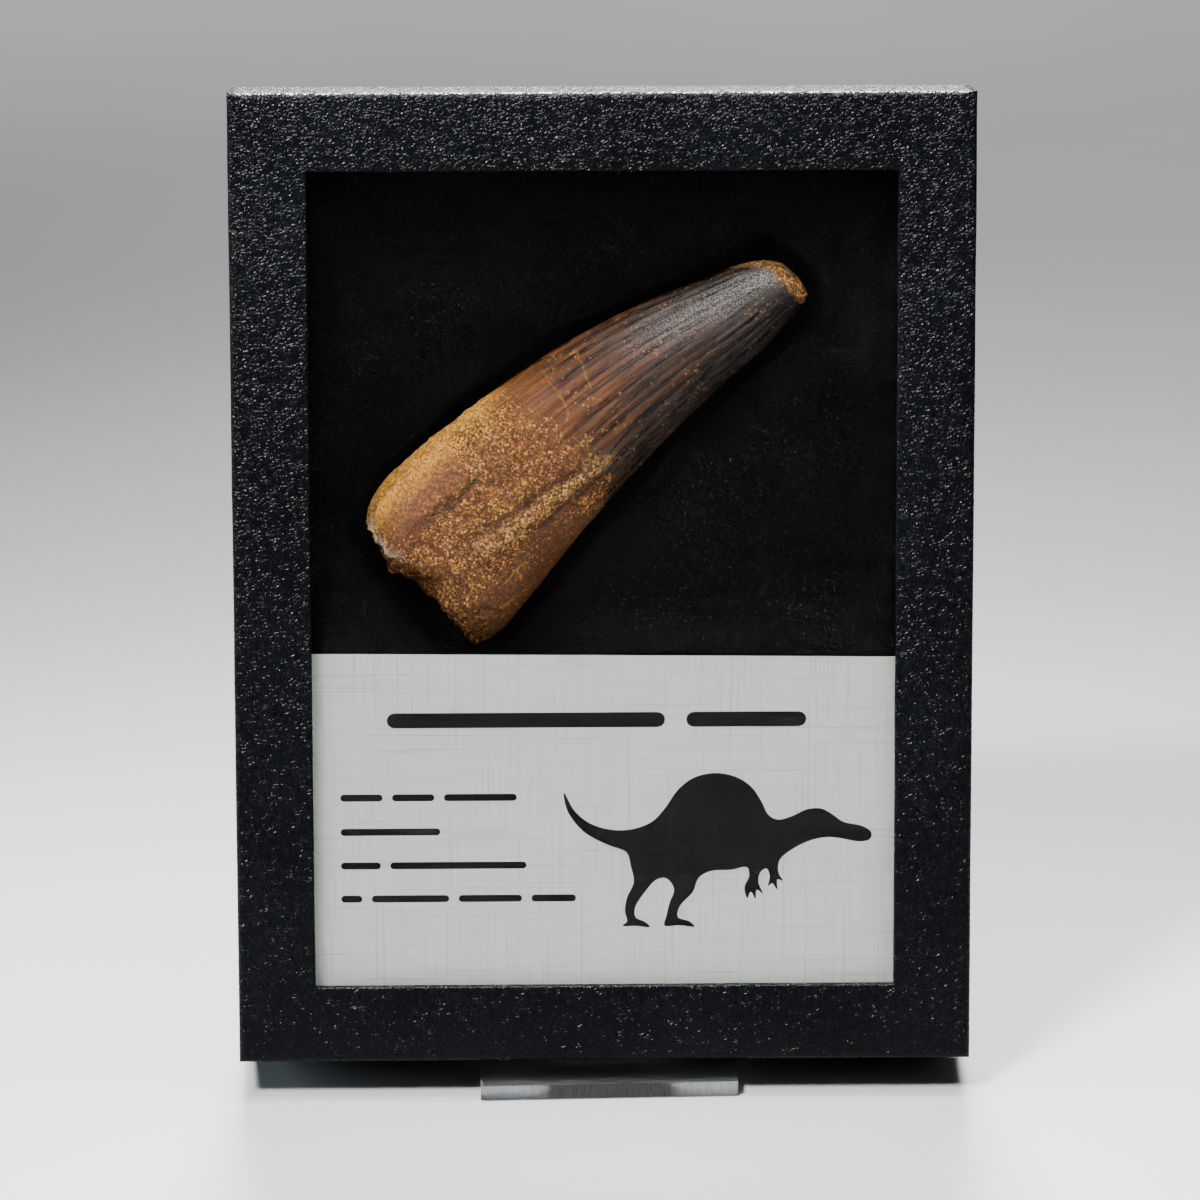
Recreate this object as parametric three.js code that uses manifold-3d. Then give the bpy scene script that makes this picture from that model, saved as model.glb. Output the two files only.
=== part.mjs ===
// A fossil spinosaurus tooth in a glazed display case, which leans back on a clear easel.
// Millimetres, +Z up, the front towards -Y. The origin is on the table under the middle of the whole.
import * as THREE from 'three';
import { mergeVertices } from 'three/addons/utils/BufferGeometryUtils.js';
import Module from 'manifold-3d';

const wasm = await Module();
wasm.setup();

// Case
const CASE_WIDTH = 156;
const CASE_HEIGHT = 206;
const CASE_DEPTH = 34;
const LEAN = THREE.MathUtils.degToRad(11);
const CLEARANCE = 0.3;
const WALL = 1.6;

// Lid
const LID_DEPTH = 25;
const LID_BOARD = 2;
const LID_ROUNDING = 1.6;
const WINDOW_WIDTH = 123.2;
const WINDOW_HEIGHT = 174.2;
const WINDOW_ROUNDING = 0.5;

// Tray inside the lid
const TRAY_PLAY = 0.4;

// Window pane and card
const PANE_THICKNESS = 1.6;
const PANE_PLAY = 0.4;
const CARD_WIDTH = 146;
const CARD_THICKNESS = 0.5;
const CARD_BOTTOM = 5.6;
const CARD_TOP = 87;
const CARD_TILT = THREE.MathUtils.degToRad(-0.55);

// Lining pad
const PAD_PLAY = 0.5;
const PAD_COLUMNS = 26;
const PAD_ROWS = 34;
const PAD_UNDER_CARD = -5.7;
const PAD_OPEN_LEVEL = -13;
const PAD_PUFF = 4;
const PAD_PUFF_REACH = { full: 6, starts: 28 };
const PAD_WAVES = [
  { height: 0.9, x: 0.09, y: 0.05, turn: 0 },
  { height: 0.7, x: 0.05, y: -0.11, turn: 1 },
];
const PAD_UNDER_CARD_REACH = 12;
const HOLLOW_MARGIN = 3.2;
const HOLLOW_GAP = 1;
const HOLLOW_LEAST = 8.5;
const HOLLOW_BEFORE_BASE = 4;
const HOLLOW_END = 5;
const HOLLOW_BRIM = 1.9;

// Tooth, along its own axis from the broken base to the tip
const TOOTH_BASE = new THREE.Vector2(-39, 100.2);
const TOOTH_ANGLE = THREE.MathUtils.degToRad(40.6);
const TOOTH_LENGTH = 104;
const TOOTH_LEVEL_BASE = -17.3;
const TOOTH_LEVEL_TIP = -15.5;
const TOOTH_AROUND = 72;
const TOOTH_RINGS = 36;
const TOOTH_DEPTH_RATIO = { base: 0.56, tip: 0.92 };
const TIP_DROP = 0.4;

// Relief of the tooth: heights in mm, places as distances along it, sides as angles from its upper edge
const FLUTES = { count: 24, height: 0.3, starts: 38, full: 58, wanes: 91, ends: 96 };
const ROOT = { full: 34, ends: 56 };
const ROOT_LUMPS = [
  { height: 0.35, along: 0.42, round: 2 },
  { height: 0.21, along: 0.95, round: 5 },
  { height: 0.14, along: 0.6, round: -9 },
];
const SMOOTH_PATCH = { height: 0.8, side: 0.2, otherSide: 1.15, soft: 0.1, full: 28, ends: 36 };
const SANDY_RIDGE = { height: 0.9, side: 2.15, spread: 0.16, starts: 8, full: 16, wanes: 40, ends: 52 };
const WORN_TROUGH = { depth: 0.5, side: 1.35, otherSide: 1.95, soft: 0.15 };
const TIP_CAP = { height: 0.35, starts: 94, full: 97 };

// Broken base: its front edge set back by the slant, a jagged rim, and a hollow inside
const BASE = { slant: 3, jag: 0.7, teeth: 7, nicks: 13, fades: 16 };
const PULP_HOLLOW = [
  { share: 0.35, recess: 6 },
  { share: 0.62, recess: 4.8 },
  { share: 0.86, recess: 1.2 },
];

// Stations of the tooth: distance along, how far its middle bows up, half of its width
const TOOTH_STATIONS = [
  [0, 0.5, 17.6],
  [6, 1.3, 19.8],
  [14, 2.2, 20.0],
  [28, 3.4, 18.6],
  [44, 4.4, 16.5],
  [60, 4.1, 14.3],
  [76, 2.7, 11.8],
  [88, 0.8, 9.5],
  [97, -0.5, 7.3],
  [102, -1.8, 4.6],
];

// Easel
const SHEET = 3.2;
const EASEL_WIDTH = 55;
const EASEL_SHIFT = 1;
const LEDGE_FRONT = -0.8;
const LEDGE_SKEW = THREE.MathUtils.degToRad(1.7);
const EASEL_BEND = 1;
const REST_HEIGHT = 66;
const SLOT_WIDTH = 28;
const SLOT_FRONT = 14;
const SLOT_TOP = 54;
const SAW_CUT = 1.2;
const LEG_ROOT = 4;
const LEG_INSET = 0.2;
const LEG_BEND = 2;
const LEG_SLOPE = THREE.MathUtils.degToRad(50);
const ARC_STEPS = 6;

// Colours and finishes
const BLACK_LEATHERETTE = { color: 0x17191d, roughness: 0.42, metalness: 0 };
const BLACK_PLUSH = { color: 0x0b0b0c, roughness: 0.95, metalness: 0 };
const CLEAR_GLASS = { color: 0xeef4f2, roughness: 0.03, metalness: 0, transparent: true, opacity: 0.2 };
const CLEAR_ACRYLIC = { color: 0xe8edf0, roughness: 0.05, metalness: 0, transparent: true, opacity: 0.35 };
const PALE_CARD = { color: 0xc9cec8, roughness: 0.8, metalness: 0 };
const FOSSIL_BROWN = { color: 0x8a5427, roughness: 0.55, metalness: 0 };

// Depths in the case, counted from the lid's face, which is at 0
const PANE_FRONT = -LID_BOARD - CLEARANCE;
const PANE_BACK = PANE_FRONT - PANE_THICKNESS;
const TRAY_RIM = PANE_BACK - CLEARANCE;
const TRAY_FLOOR = -CASE_DEPTH + WALL;
const CARD_FRONT = TRAY_RIM - CLEARANCE;
const TRAY_INSET = WALL + TRAY_PLAY;

// The lid's lower back edge stands on the easel's ledge.
const CASE_LIFT = SHEET + CLEARANCE + LID_DEPTH * Math.sin(LEAN);

function namedMesh(name, geometry, finish) {
  const mesh = new THREE.Mesh(geometry, new THREE.MeshStandardMaterial(finish));
  mesh.name = name;
  return mesh;
}

function solidFrom(geometry) {
  const bare = geometry.clone();
  bare.deleteAttribute('normal');
  bare.deleteAttribute('uv');
  const merged = mergeVertices(bare.index ? bare.toNonIndexed() : bare, 1e-4);
  return new wasm.Manifold(new wasm.Mesh({
    numProp: 3,
    vertProperties: new Float32Array(merged.attributes.position.array),
    triVerts: new Uint32Array(merged.index.array),
  }));
}

function geometryFrom(solid) {
  const mesh = solid.getMesh();
  const geometry = new THREE.BufferGeometry();
  geometry.setAttribute('position', new THREE.BufferAttribute(new Float32Array(mesh.vertProperties), 3));
  geometry.setIndex(new THREE.BufferAttribute(new Uint32Array(mesh.triVerts), 1));
  geometry.computeVertexNormals();
  return geometry;
}

function boxBetween(low, high) {
  const size = new THREE.Vector3().subVectors(high, low);
  const middle = new THREE.Vector3().addVectors(low, high).multiplyScalar(0.5);
  return new THREE.BoxGeometry(size.x, size.y, size.z).translate(middle.x, middle.y, middle.z);
}

function indexedGeometry(points, triangles) {
  const geometry = new THREE.BufferGeometry();
  geometry.setFromPoints(points);
  geometry.setIndex(triangles);
  geometry.computeVertexNormals();
  return geometry;
}

function smoothRise(low, high, value) {
  return THREE.MathUtils.smoothstep(value, low, high);
}

// A closed profile of [inset, height] points carried round a rectangle with mitred corners.
function mitredFrame(profile, width, height) {
  const points = [];
  const triangles = [];
  const corners = [[-1, -1], [1, -1], [1, 1], [-1, 1]];
  for (const [sideX, sideY] of corners) {
    for (const [inset, level] of profile) {
      const x = sideX * (width / 2 - inset);
      const y = height / 2 + sideY * (height / 2 - inset);
      points.push(new THREE.Vector3(x, y, level));
    }
  }
  const count = profile.length;
  for (let corner = 0; corner < corners.length; corner += 1) {
    const here = corner * count;
    const next = ((corner + 1) % corners.length) * count;
    for (let i = 0; i < count; i += 1) {
      const j = (i + 1) % count;
      triangles.push(here + i, next + i, next + j, here + i, next + j, here + j);
    }
  }
  return indexedGeometry(points, triangles);
}

// Points of an arc round a centre, from one angle to another.
function arcPath(centre, radius, fromAngle, toAngle) {
  const points = [];
  for (let i = 0; i <= ARC_STEPS; i += 1) {
    const angle = fromAngle + (toAngle - fromAngle) * (i / ARC_STEPS);
    points.push([centre[0] + radius * Math.cos(angle), centre[1] + radius * Math.sin(angle)]);
  }
  return points;
}

function buildLid() {
  const border = (CASE_WIDTH - WINDOW_WIDTH) / 2;
  const windowRound = [border - WINDOW_ROUNDING, -WINDOW_ROUNDING];
  const profile = [
    [0, -LID_DEPTH],
    ...arcPath([LID_ROUNDING, -LID_ROUNDING], LID_ROUNDING, Math.PI, Math.PI / 2),
    ...arcPath(windowRound, WINDOW_ROUNDING, Math.PI / 2, 0),
    [border, -LID_BOARD],
    [WALL, -LID_BOARD],
    [WALL, -LID_DEPTH],
  ];
  return mitredFrame(profile, CASE_WIDTH, CASE_HEIGHT);
}

function buildTray() {
  const halfWidth = CASE_WIDTH / 2 - TRAY_INSET;
  const outer = solidFrom(boxBetween(
    new THREE.Vector3(-halfWidth, TRAY_INSET, -CASE_DEPTH),
    new THREE.Vector3(halfWidth, CASE_HEIGHT - TRAY_INSET, TRAY_RIM),
  ));
  const inner = solidFrom(boxBetween(
    new THREE.Vector3(-halfWidth + WALL, TRAY_INSET + WALL, TRAY_FLOOR),
    new THREE.Vector3(halfWidth - WALL, CASE_HEIGHT - TRAY_INSET - WALL, 0),
  ));
  return geometryFrom(outer.subtract(inner));
}

function buildPane() {
  const inset = WALL + PANE_PLAY;
  return boxBetween(
    new THREE.Vector3(-CASE_WIDTH / 2 + inset, inset, PANE_BACK),
    new THREE.Vector3(CASE_WIDTH / 2 - inset, CASE_HEIGHT - inset, PANE_FRONT),
  );
}

function buildCard() {
  return new THREE.BoxGeometry(CARD_WIDTH, CARD_TOP - CARD_BOTTOM, CARD_THICKNESS);
}

const toothSpine = new THREE.CatmullRomCurve3(
  TOOTH_STATIONS.map((station) => new THREE.Vector3(...station)),
);

function toothDepthRatio(along) {
  const { base, tip } = TOOTH_DEPTH_RATIO;
  return THREE.MathUtils.lerp(base, tip, smoothRise(0, TOOTH_LENGTH, along));
}

function toothLevel(along) {
  const share = smoothRise(TOOTH_LENGTH / 5, TOOTH_LENGTH, along);
  return THREE.MathUtils.lerp(TOOTH_LEVEL_BASE, TOOTH_LEVEL_TIP, share);
}

// 0 outside a band of angles, 1 inside it, with soft sides.
function sideBand({ side, otherSide, soft }, angle) {
  const past = smoothRise(otherSide - soft, otherSide + soft, angle);
  return smoothRise(side - soft, side + soft, angle) * (1 - past);
}

function fluteRelief(along, angle) {
  const waning = smoothRise(FLUTES.wanes, FLUTES.ends, along);
  const strength = smoothRise(FLUTES.starts, FLUTES.full, along) * (1 - waning);
  return FLUTES.height * strength * Math.cos(FLUTES.count * angle);
}

function lumpRelief(along, angle) {
  let relief = 0;
  for (const lump of ROOT_LUMPS) {
    relief += lump.height * Math.sin(along * lump.along + angle * lump.round);
  }
  return relief;
}

// How far the surface stands out from the plain tapering form; the angle runs from the upper edge over
// the front.
function toothRelief(along, angle) {
  const root = 1 - smoothRise(ROOT.full, ROOT.ends, along);
  const patchLength = 1 - smoothRise(SMOOTH_PATCH.full, SMOOTH_PATCH.ends, along);
  const patch = sideBand(SMOOTH_PATCH, angle) * patchLength;
  const ridgeLength = smoothRise(SANDY_RIDGE.starts, SANDY_RIDGE.full, along)
    * (1 - smoothRise(SANDY_RIDGE.wanes, SANDY_RIDGE.ends, along));
  const ridge = ridgeLength * Math.exp(-(((angle - SANDY_RIDGE.side) / SANDY_RIDGE.spread) ** 2));
  const trough = sideBand(WORN_TROUGH, angle) * root;
  return fluteRelief(along, angle)
    + lumpRelief(along, angle) * root
    + SMOOTH_PATCH.height * patch
    + SANDY_RIDGE.height * ridge
    - WORN_TROUGH.depth * trough
    + TIP_CAP.height * smoothRise(TIP_CAP.starts, TIP_CAP.full, along);
}

// How far the broken base's edge is set back at an angle.
function baseSetback(angle) {
  const jagged = Math.sin(angle * BASE.teeth) + 0.5 * Math.cos(angle * BASE.nicks);
  return BASE.slant * Math.sin(angle) + BASE.jag * jagged;
}

// A point of the tooth's skin, or of the hollow in its base where the share of the radius is under 1.
function toothPoint(stretch, angle, share, recess) {
  const station = toothSpine.getPoint(stretch);
  const fade = 1 - smoothRise(0, BASE.fades, station.x);
  const relief = share < 1 ? 0 : toothRelief(station.x, angle);
  const halfWidth = station.z * share + relief;
  const halfDepth = station.z * toothDepthRatio(station.x) * share + relief;
  return new THREE.Vector3(
    station.x + baseSetback(angle) * fade + recess,
    station.y + halfWidth * Math.cos(angle),
    toothLevel(station.x) + halfDepth * Math.sin(angle),
  );
}

function buildTooth() {
  const rings = PULP_HOLLOW.map(({ share, recess }) => ({ stretch: 0, share, recess }));
  for (let i = 0; i <= TOOTH_RINGS; i += 1) {
    rings.push({ stretch: i / TOOTH_RINGS, share: 1, recess: 0 });
  }
  const points = [new THREE.Vector3(PULP_HOLLOW[0].recess, TOOTH_STATIONS[0][1], TOOTH_LEVEL_BASE)];
  for (const { stretch, share, recess } of rings) {
    for (let i = 0; i < TOOTH_AROUND; i += 1) {
      points.push(toothPoint(stretch, (i / TOOTH_AROUND) * Math.PI * 2, share, recess));
    }
  }
  const end = TOOTH_STATIONS[TOOTH_STATIONS.length - 1];
  points.push(new THREE.Vector3(TOOTH_LENGTH, end[1] - TIP_DROP, TOOTH_LEVEL_TIP));
  const last = points.length - 1;
  const rim = last - TOOTH_AROUND;
  const triangles = [];
  for (let i = 0; i < TOOTH_AROUND; i += 1) {
    const j = (i + 1) % TOOTH_AROUND;
    triangles.push(0, 1 + i, 1 + j);
    for (let ring = 0; ring < rings.length - 1; ring += 1) {
      const here = 1 + ring * TOOTH_AROUND;
      const next = here + TOOTH_AROUND;
      triangles.push(here + i, next + i, next + j, here + i, next + j, here + j);
    }
    triangles.push(rim + i, last, rim + j);
  }
  return indexedGeometry(points, triangles.reverse());
}

// Distances along and across the tooth, for a point of the case's face.
function acrossTooth(x, y) {
  return new THREE.Vector2(x, y).sub(TOOTH_BASE).rotateAround(new THREE.Vector2(), -TOOTH_ANGLE);
}

function stationAt(along) {
  const clamped = THREE.MathUtils.clamp(along, 0, TOOTH_STATIONS[TOOTH_STATIONS.length - 1][0]);
  let index = 1;
  while (TOOTH_STATIONS[index][0] < clamped) {
    index += 1;
  }
  const [from, to] = [TOOTH_STATIONS[index - 1], TOOTH_STATIONS[index]];
  const share = (clamped - from[0]) / (to[0] - from[0]);
  return {
    middle: THREE.MathUtils.lerp(from[1], to[1], share),
    half: Math.max(HOLLOW_LEAST, THREE.MathUtils.lerp(from[2], to[2], share)),
  };
}

// The lining away from the tooth: pressed flat under the card, puffed up by the walls, in soft waves.
function openPadLevel(x, y) {
  const fromSide = CASE_WIDTH / 2 - Math.abs(x);
  const fromTop = CASE_HEIGHT - y;
  const fromWall = Math.min(fromSide, fromTop);
  const nearWall = 1 - smoothRise(PAD_PUFF_REACH.full, PAD_PUFF_REACH.starts, fromWall);
  let open = PAD_OPEN_LEVEL + PAD_PUFF * nearWall;
  for (const wave of PAD_WAVES) {
    open += wave.height * Math.sin(x * wave.x + y * wave.y + wave.turn);
  }
  const underCard = 1 - smoothRise(CARD_TOP, CARD_TOP + PAD_UNDER_CARD_REACH, y);
  return THREE.MathUtils.lerp(open, PAD_UNDER_CARD, underCard);
}

// The lining's height everywhere, with the hollow that the tooth lies in.
function padLevel(x, y) {
  const level = openPadLevel(x, y);
  const place = acrossTooth(x, y);
  const station = stationAt(place.x);
  const beyond = Math.max(0, -HOLLOW_BEFORE_BASE - place.x, place.x - TOOTH_LENGTH) / HOLLOW_END;
  const sideways = (place.y - station.middle) / (station.half + HOLLOW_MARGIN);
  const reach = Math.hypot(sideways, beyond);
  const rim = toothLevel(place.x) - HOLLOW_GAP;
  if (reach < 1) {
    const depth = station.half * toothDepthRatio(place.x) + HOLLOW_GAP;
    return rim - depth * Math.sqrt(1 - reach ** 2);
  }
  return Math.min(level, THREE.MathUtils.lerp(rim, level, smoothRise(1, HOLLOW_BRIM, reach)));
}

function buildPad() {
  const inset = TRAY_INSET + WALL + PAD_PLAY;
  const bottom = TRAY_FLOOR + CLEARANCE;
  const points = [];
  const triangles = [];
  for (let row = 0; row <= PAD_ROWS; row += 1) {
    const y = THREE.MathUtils.lerp(inset, CASE_HEIGHT - inset, row / PAD_ROWS);
    for (let column = 0; column <= PAD_COLUMNS; column += 1) {
      const x = (CASE_WIDTH / 2 - inset) * ((2 * column) / PAD_COLUMNS - 1);
      points.push(new THREE.Vector3(x, y, padLevel(x, y)));
    }
  }
  const across = PAD_COLUMNS + 1;
  for (let row = 0; row < PAD_ROWS; row += 1) {
    for (let column = 0; column < PAD_COLUMNS; column += 1) {
      const a = row * across + column;
      triangles.push(a, a + 1, a + across + 1, a, a + across + 1, a + across);
    }
  }
  const edge = [];
  for (let column = 0; column < PAD_COLUMNS; column += 1) {
    edge.push(column);
  }
  for (let row = 0; row < PAD_ROWS; row += 1) {
    edge.push(row * across + PAD_COLUMNS);
  }
  for (let column = PAD_COLUMNS; column > 0; column -= 1) {
    edge.push(PAD_ROWS * across + column);
  }
  for (let row = PAD_ROWS; row > 0; row -= 1) {
    edge.push(row * across);
  }
  const foot = points.length;
  for (const index of edge) {
    points.push(new THREE.Vector3(points[index].x, points[index].y, bottom));
  }
  points.push(new THREE.Vector3(0, CASE_HEIGHT / 2, bottom));
  const hub = points.length - 1;
  for (let i = 0; i < edge.length; i += 1) {
    const j = (i + 1) % edge.length;
    triangles.push(edge[i], foot + i, foot + j, edge[i], foot + j, edge[j]);
    triangles.push(hub, foot + j, foot + i);
  }
  return indexedGeometry(points, triangles);
}

// A side outline of [distance back, height] points, drawn out to a width across X.
function sideExtrusion(outline, width) {
  const shape = new THREE.Shape(outline.map(([back, height]) => new THREE.Vector2(back, height)));
  const geometry = new THREE.ExtrudeGeometry(shape, { depth: width, bevelEnabled: false, steps: 1 });
  geometry.translate(0, 0, -width / 2);
  geometry.rotateX(Math.PI / 2);
  geometry.rotateZ(Math.PI / 2);
  return geometry;
}

// The points of a bent sheet: its near side along the path and its far side back again.
function bentSheet(path, thickness) {
  const near = [];
  const far = [];
  path.forEach(([back, height], index) => {
    const before = path[Math.max(0, index - 1)];
    const after = path[Math.min(path.length - 1, index + 1)];
    const length = Math.hypot(after[0] - before[0], after[1] - before[1]);
    const normal = [(after[1] - before[1]) / length, -(after[0] - before[0]) / length];
    near.push([back, height]);
    far.push([back + normal[0] * thickness, height + normal[1] * thickness]);
  });
  return [...near, ...far.reverse()];
}

// How far back the case's leaning back lies, at a height above the table.
function caseBackAt(height) {
  const up = (height - CASE_LIFT + CASE_DEPTH * Math.sin(LEAN)) / Math.cos(LEAN);
  return up * Math.sin(LEAN) + CASE_DEPTH * Math.cos(LEAN);
}

function alongRest(foot, distance) {
  return [foot[0] + distance * Math.sin(LEAN), foot[1] + distance * Math.cos(LEAN)];
}

// Where the face of the back rest starts, just above the bend.
function restFoot() {
  const height = SHEET + EASEL_BEND * (1 - Math.sin(LEAN));
  return [caseBackAt(height) + CLEARANCE / Math.cos(LEAN), height];
}

// The ledge and the back rest: the upper face of the ledge, the bend, then the leaning face.
function easelBodyOutline() {
  const foot = restFoot();
  const centre = [foot[0] - EASEL_BEND * Math.cos(LEAN), SHEET + EASEL_BEND];
  const bend = arcPath(centre, EASEL_BEND, -Math.PI / 2, -LEAN);
  return bentSheet([[LEDGE_FRONT - SHEET, SHEET], ...bend, alongRest(foot, REST_HEIGHT)], SHEET);
}

// The leg: cut from the slot, bent back under the top bar, down to the table.
function easelLegOutline() {
  const slotTop = alongRest(restFoot(), SLOT_TOP);
  const behind = [Math.cos(LEAN), -Math.sin(LEAN)];
  const depth = SHEET - LEG_INSET;
  const root = [slotTop[0] + behind[0] * depth, slotTop[1] + behind[1] * depth];
  const centre = [root[0] + behind[0] * LEG_BEND, root[1] + behind[1] * LEG_BEND];
  const bend = arcPath(centre, LEG_BEND, Math.PI - LEAN, Math.PI * 1.5 - LEG_SLOPE);
  const last = bend[bend.length - 1];
  const footHeight = (SHEET - 2 * LEG_INSET) * Math.cos(LEG_SLOPE);
  const run = (last[1] - footHeight) / Math.tan(LEG_SLOPE);
  const path = [alongRest(root, LEG_ROOT), ...bend, [last[0] + run, footHeight]];
  return bentSheet(path, SHEET - 2 * LEG_INSET);
}

function buildEasel() {
  const body = solidFrom(sideExtrusion(easelBodyOutline(), EASEL_WIDTH));
  const slotTop = alongRest(restFoot(), SLOT_TOP);
  const slot = solidFrom(boxBetween(
    new THREE.Vector3(-SLOT_WIDTH / 2, SLOT_FRONT, -SHEET),
    new THREE.Vector3(SLOT_WIDTH / 2, slotTop[0] + SHEET * 3, slotTop[1]),
  ));
  const leg = solidFrom(sideExtrusion(easelLegOutline(), SLOT_WIDTH - 2 * SAW_CUT));
  const beforeLedge = boxBetween(
    new THREE.Vector3(-EASEL_WIDTH, -SHEET * 2, -SHEET),
    new THREE.Vector3(EASEL_WIDTH, 0, SHEET * 2),
  );
  beforeLedge.rotateZ(LEDGE_SKEW).translate(0, LEDGE_FRONT, 0);
  return geometryFrom(body.subtract(slot).subtract(solidFrom(beforeLedge)).add(leg));
}

const model = new THREE.Group();

const easel = namedMesh('easel', buildEasel(), CLEAR_ACRYLIC);
easel.position.x = EASEL_SHIFT;
model.add(easel);

const displayCase = new THREE.Group();
displayCase.position.z = CASE_LIFT;
displayCase.rotation.x = Math.PI / 2 - LEAN;
model.add(displayCase);

displayCase.add(namedMesh('case_tray', buildTray(), BLACK_LEATHERETTE));
displayCase.add(namedMesh('case_lid', buildLid(), BLACK_LEATHERETTE));
displayCase.add(namedMesh('window_pane', buildPane(), CLEAR_GLASS));
displayCase.add(namedMesh('lining_pad', buildPad(), BLACK_PLUSH));

const card = namedMesh('label_card', buildCard(), PALE_CARD);
card.position.set(0, (CARD_BOTTOM + CARD_TOP) / 2, CARD_FRONT - CARD_THICKNESS / 2);
card.rotation.z = CARD_TILT;
displayCase.add(card);

const tooth = namedMesh('tooth', buildTooth(), FOSSIL_BROWN);
tooth.position.set(TOOTH_BASE.x, TOOTH_BASE.y, 0);
tooth.rotation.z = TOOTH_ANGLE;
displayCase.add(tooth);

// The origin sits under the middle of the whole, from the ledge's front to the leg's foot.
model.updateMatrixWorld(true);
const reach = new THREE.Box3().setFromObject(model, true);
model.position.y = -(reach.min.y + reach.max.y) / 2;

export default model;
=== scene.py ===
import math
from types import SimpleNamespace

import bpy
import numpy as np
from mathutils import Matrix, Vector


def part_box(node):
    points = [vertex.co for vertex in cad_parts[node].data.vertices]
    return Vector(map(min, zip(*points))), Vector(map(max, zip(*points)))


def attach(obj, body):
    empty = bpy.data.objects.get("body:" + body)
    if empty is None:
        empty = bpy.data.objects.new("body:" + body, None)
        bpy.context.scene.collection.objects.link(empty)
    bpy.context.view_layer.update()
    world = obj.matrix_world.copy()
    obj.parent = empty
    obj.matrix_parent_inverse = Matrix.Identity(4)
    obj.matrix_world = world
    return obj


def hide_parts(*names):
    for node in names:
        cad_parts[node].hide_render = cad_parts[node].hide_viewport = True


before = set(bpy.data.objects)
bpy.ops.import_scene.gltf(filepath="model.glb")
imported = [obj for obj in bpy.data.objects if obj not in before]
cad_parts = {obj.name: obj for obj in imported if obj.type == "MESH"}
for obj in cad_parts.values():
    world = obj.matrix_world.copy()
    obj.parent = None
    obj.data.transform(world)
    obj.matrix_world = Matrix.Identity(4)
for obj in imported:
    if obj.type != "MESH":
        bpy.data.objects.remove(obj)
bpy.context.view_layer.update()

# A fossil spinosaurus tooth on black plush, in a glazed display case that leans back on a clear easel.
# Shapes are given in millimetres. In the case, a point is (right, up the face, out of the face).
MM = 0.001

# Case
LEAN = math.radians(11)
CASE_WIDTH = 156
CASE_HEIGHT = 206
LID_DEPTH = 25
LID_BOARD = 2
LID_ROUNDING = 1.6
LID_STEPS = 70
LID_WOBBLE = 0.12
CORNER_OUT = 0.95
CORNER_UP = 0.85
WALL = 1.6
WINDOW_WIDTH = 123.2
WINDOW_ROUNDING = 0.6
CARD_FRONT = -4.5
PRINT_BACK = CARD_FRONT + 0.01
PRINT_FRONT = CARD_FRONT + 0.04
CARD_TOP = 87

# Easel, whose front edge is cut a little askew
LEDGE_SKEW = math.radians(1.7)

# Lining
PAD_INSET = 4.1
PAD_BOTTOM = -32.1
PAD_UNDER_CARD = -5.75
PAD_OPEN_LEVEL = -13
PAD_PUFF = 4
PAD_STEP = 1.1
HOLLOW_MARGIN = 3.2
HOLLOW_GAP = 1
LINING_ROUGHNESS = 0.16
HOLLOW_LEAST = 8.5
HOLLOW_BEFORE_BASE = 4
HOLLOW_END = 5
HOLLOW_FAR = 102
HOLLOW_BRIM = 1.9
SWELL_AT = (50, 146)
SWELL_WIDTH = 12
SWELL_LENGTH = 7
SWELL_SLOPE = 0.5
SWELL_HEIGHT = 2.2
PILE_FIBRES = 90000
PILE_REACH = 64
PILE_LEAN = 0.8
PILE_THICKNESS = 0.055

# Tooth: along its axis from the broken base to the tip
TOOTH_BASE = (-39, 100.2)
TOOTH_ANGLE = math.radians(40.6)
TOOTH_LENGTH = 104
TOOTH_LEVEL_BASE = -17.3
TOOTH_LEVEL_TIP = -15.5
RUN_STEPS = 4000
TOOTH_RINGS = 330
TOOTH_BASE_RINGS = 20
TOOTH_AROUND = 270
FRONT_DENSITY = 0.45
RADIUS_SHARE = 0.8
ROUND_TIP = 2.5
BASE_ROUGHNESS = 0.5
BASE_SLOPE = 14
FLUTES = 30
FLUTE_HEIGHT = 0.45
STRIATION_HEIGHT = 0.06
GRAIN_SIZE = 0.75
GRAIN_HEIGHT = 0.16
CLOD_SIZE = 1.5
CLOD_HEIGHT = 0.3
WORN_HEIGHT = 0.5
PATCH_HEIGHT = 0.5
RIDGE_HEIGHT = 0.9
TROUGH_DEPTH = 0.5
CRACK_DEPTH = 0.12
CREVICE_DEPTH = 0.5
PIT_DEPTH = 2.0
CHIP_DEPTH = 3.4
STREAKS_AROUND = 17.0
STREAKS_ALONG = 9.0
TOOTH_STATIONS = np.array([
    [0, 0.5, 17.6],
    [3, 1.0, 19.2],
    [8, 1.6, 20.1],
    [14, 2.3, 19.8],
    [21, 2.9, 19.2],
    [28, 3.5, 18.4],
    [36, 4.1, 17.5],
    [46, 4.4, 16.2],
    [60, 4.1, 14.2],
    [76, 2.7, 11.7],
    [88, 0.8, 9.5],
    [96, -0.2, 7.7],
    [100, -1.1, 6.4],
    [102.4, -1.7, 4.7],
    [103.6, -2.2, 2.8],
    [104, -2.4, 0.0],
])

SIN = math.sin(LEAN)
COS = math.cos(LEAN)
lid_low, lid_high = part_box("case_lid")
CASE_Y = lid_high.y / MM - CASE_HEIGHT * SIN - LID_DEPTH * COS
CASE_Z = lid_low.z / MM + LID_DEPTH * SIN


def in_case(points):
    """Points of the leaning case in millimetres, as points of the room in metres."""
    right, up, out = np.asarray(points, float).reshape(-1, 3).T
    back = up * SIN - out * COS + CASE_Y
    height = up * COS + out * SIN + CASE_Z
    return np.stack([right, back, height], 1) * MM


# Noise and smooth curves

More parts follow.
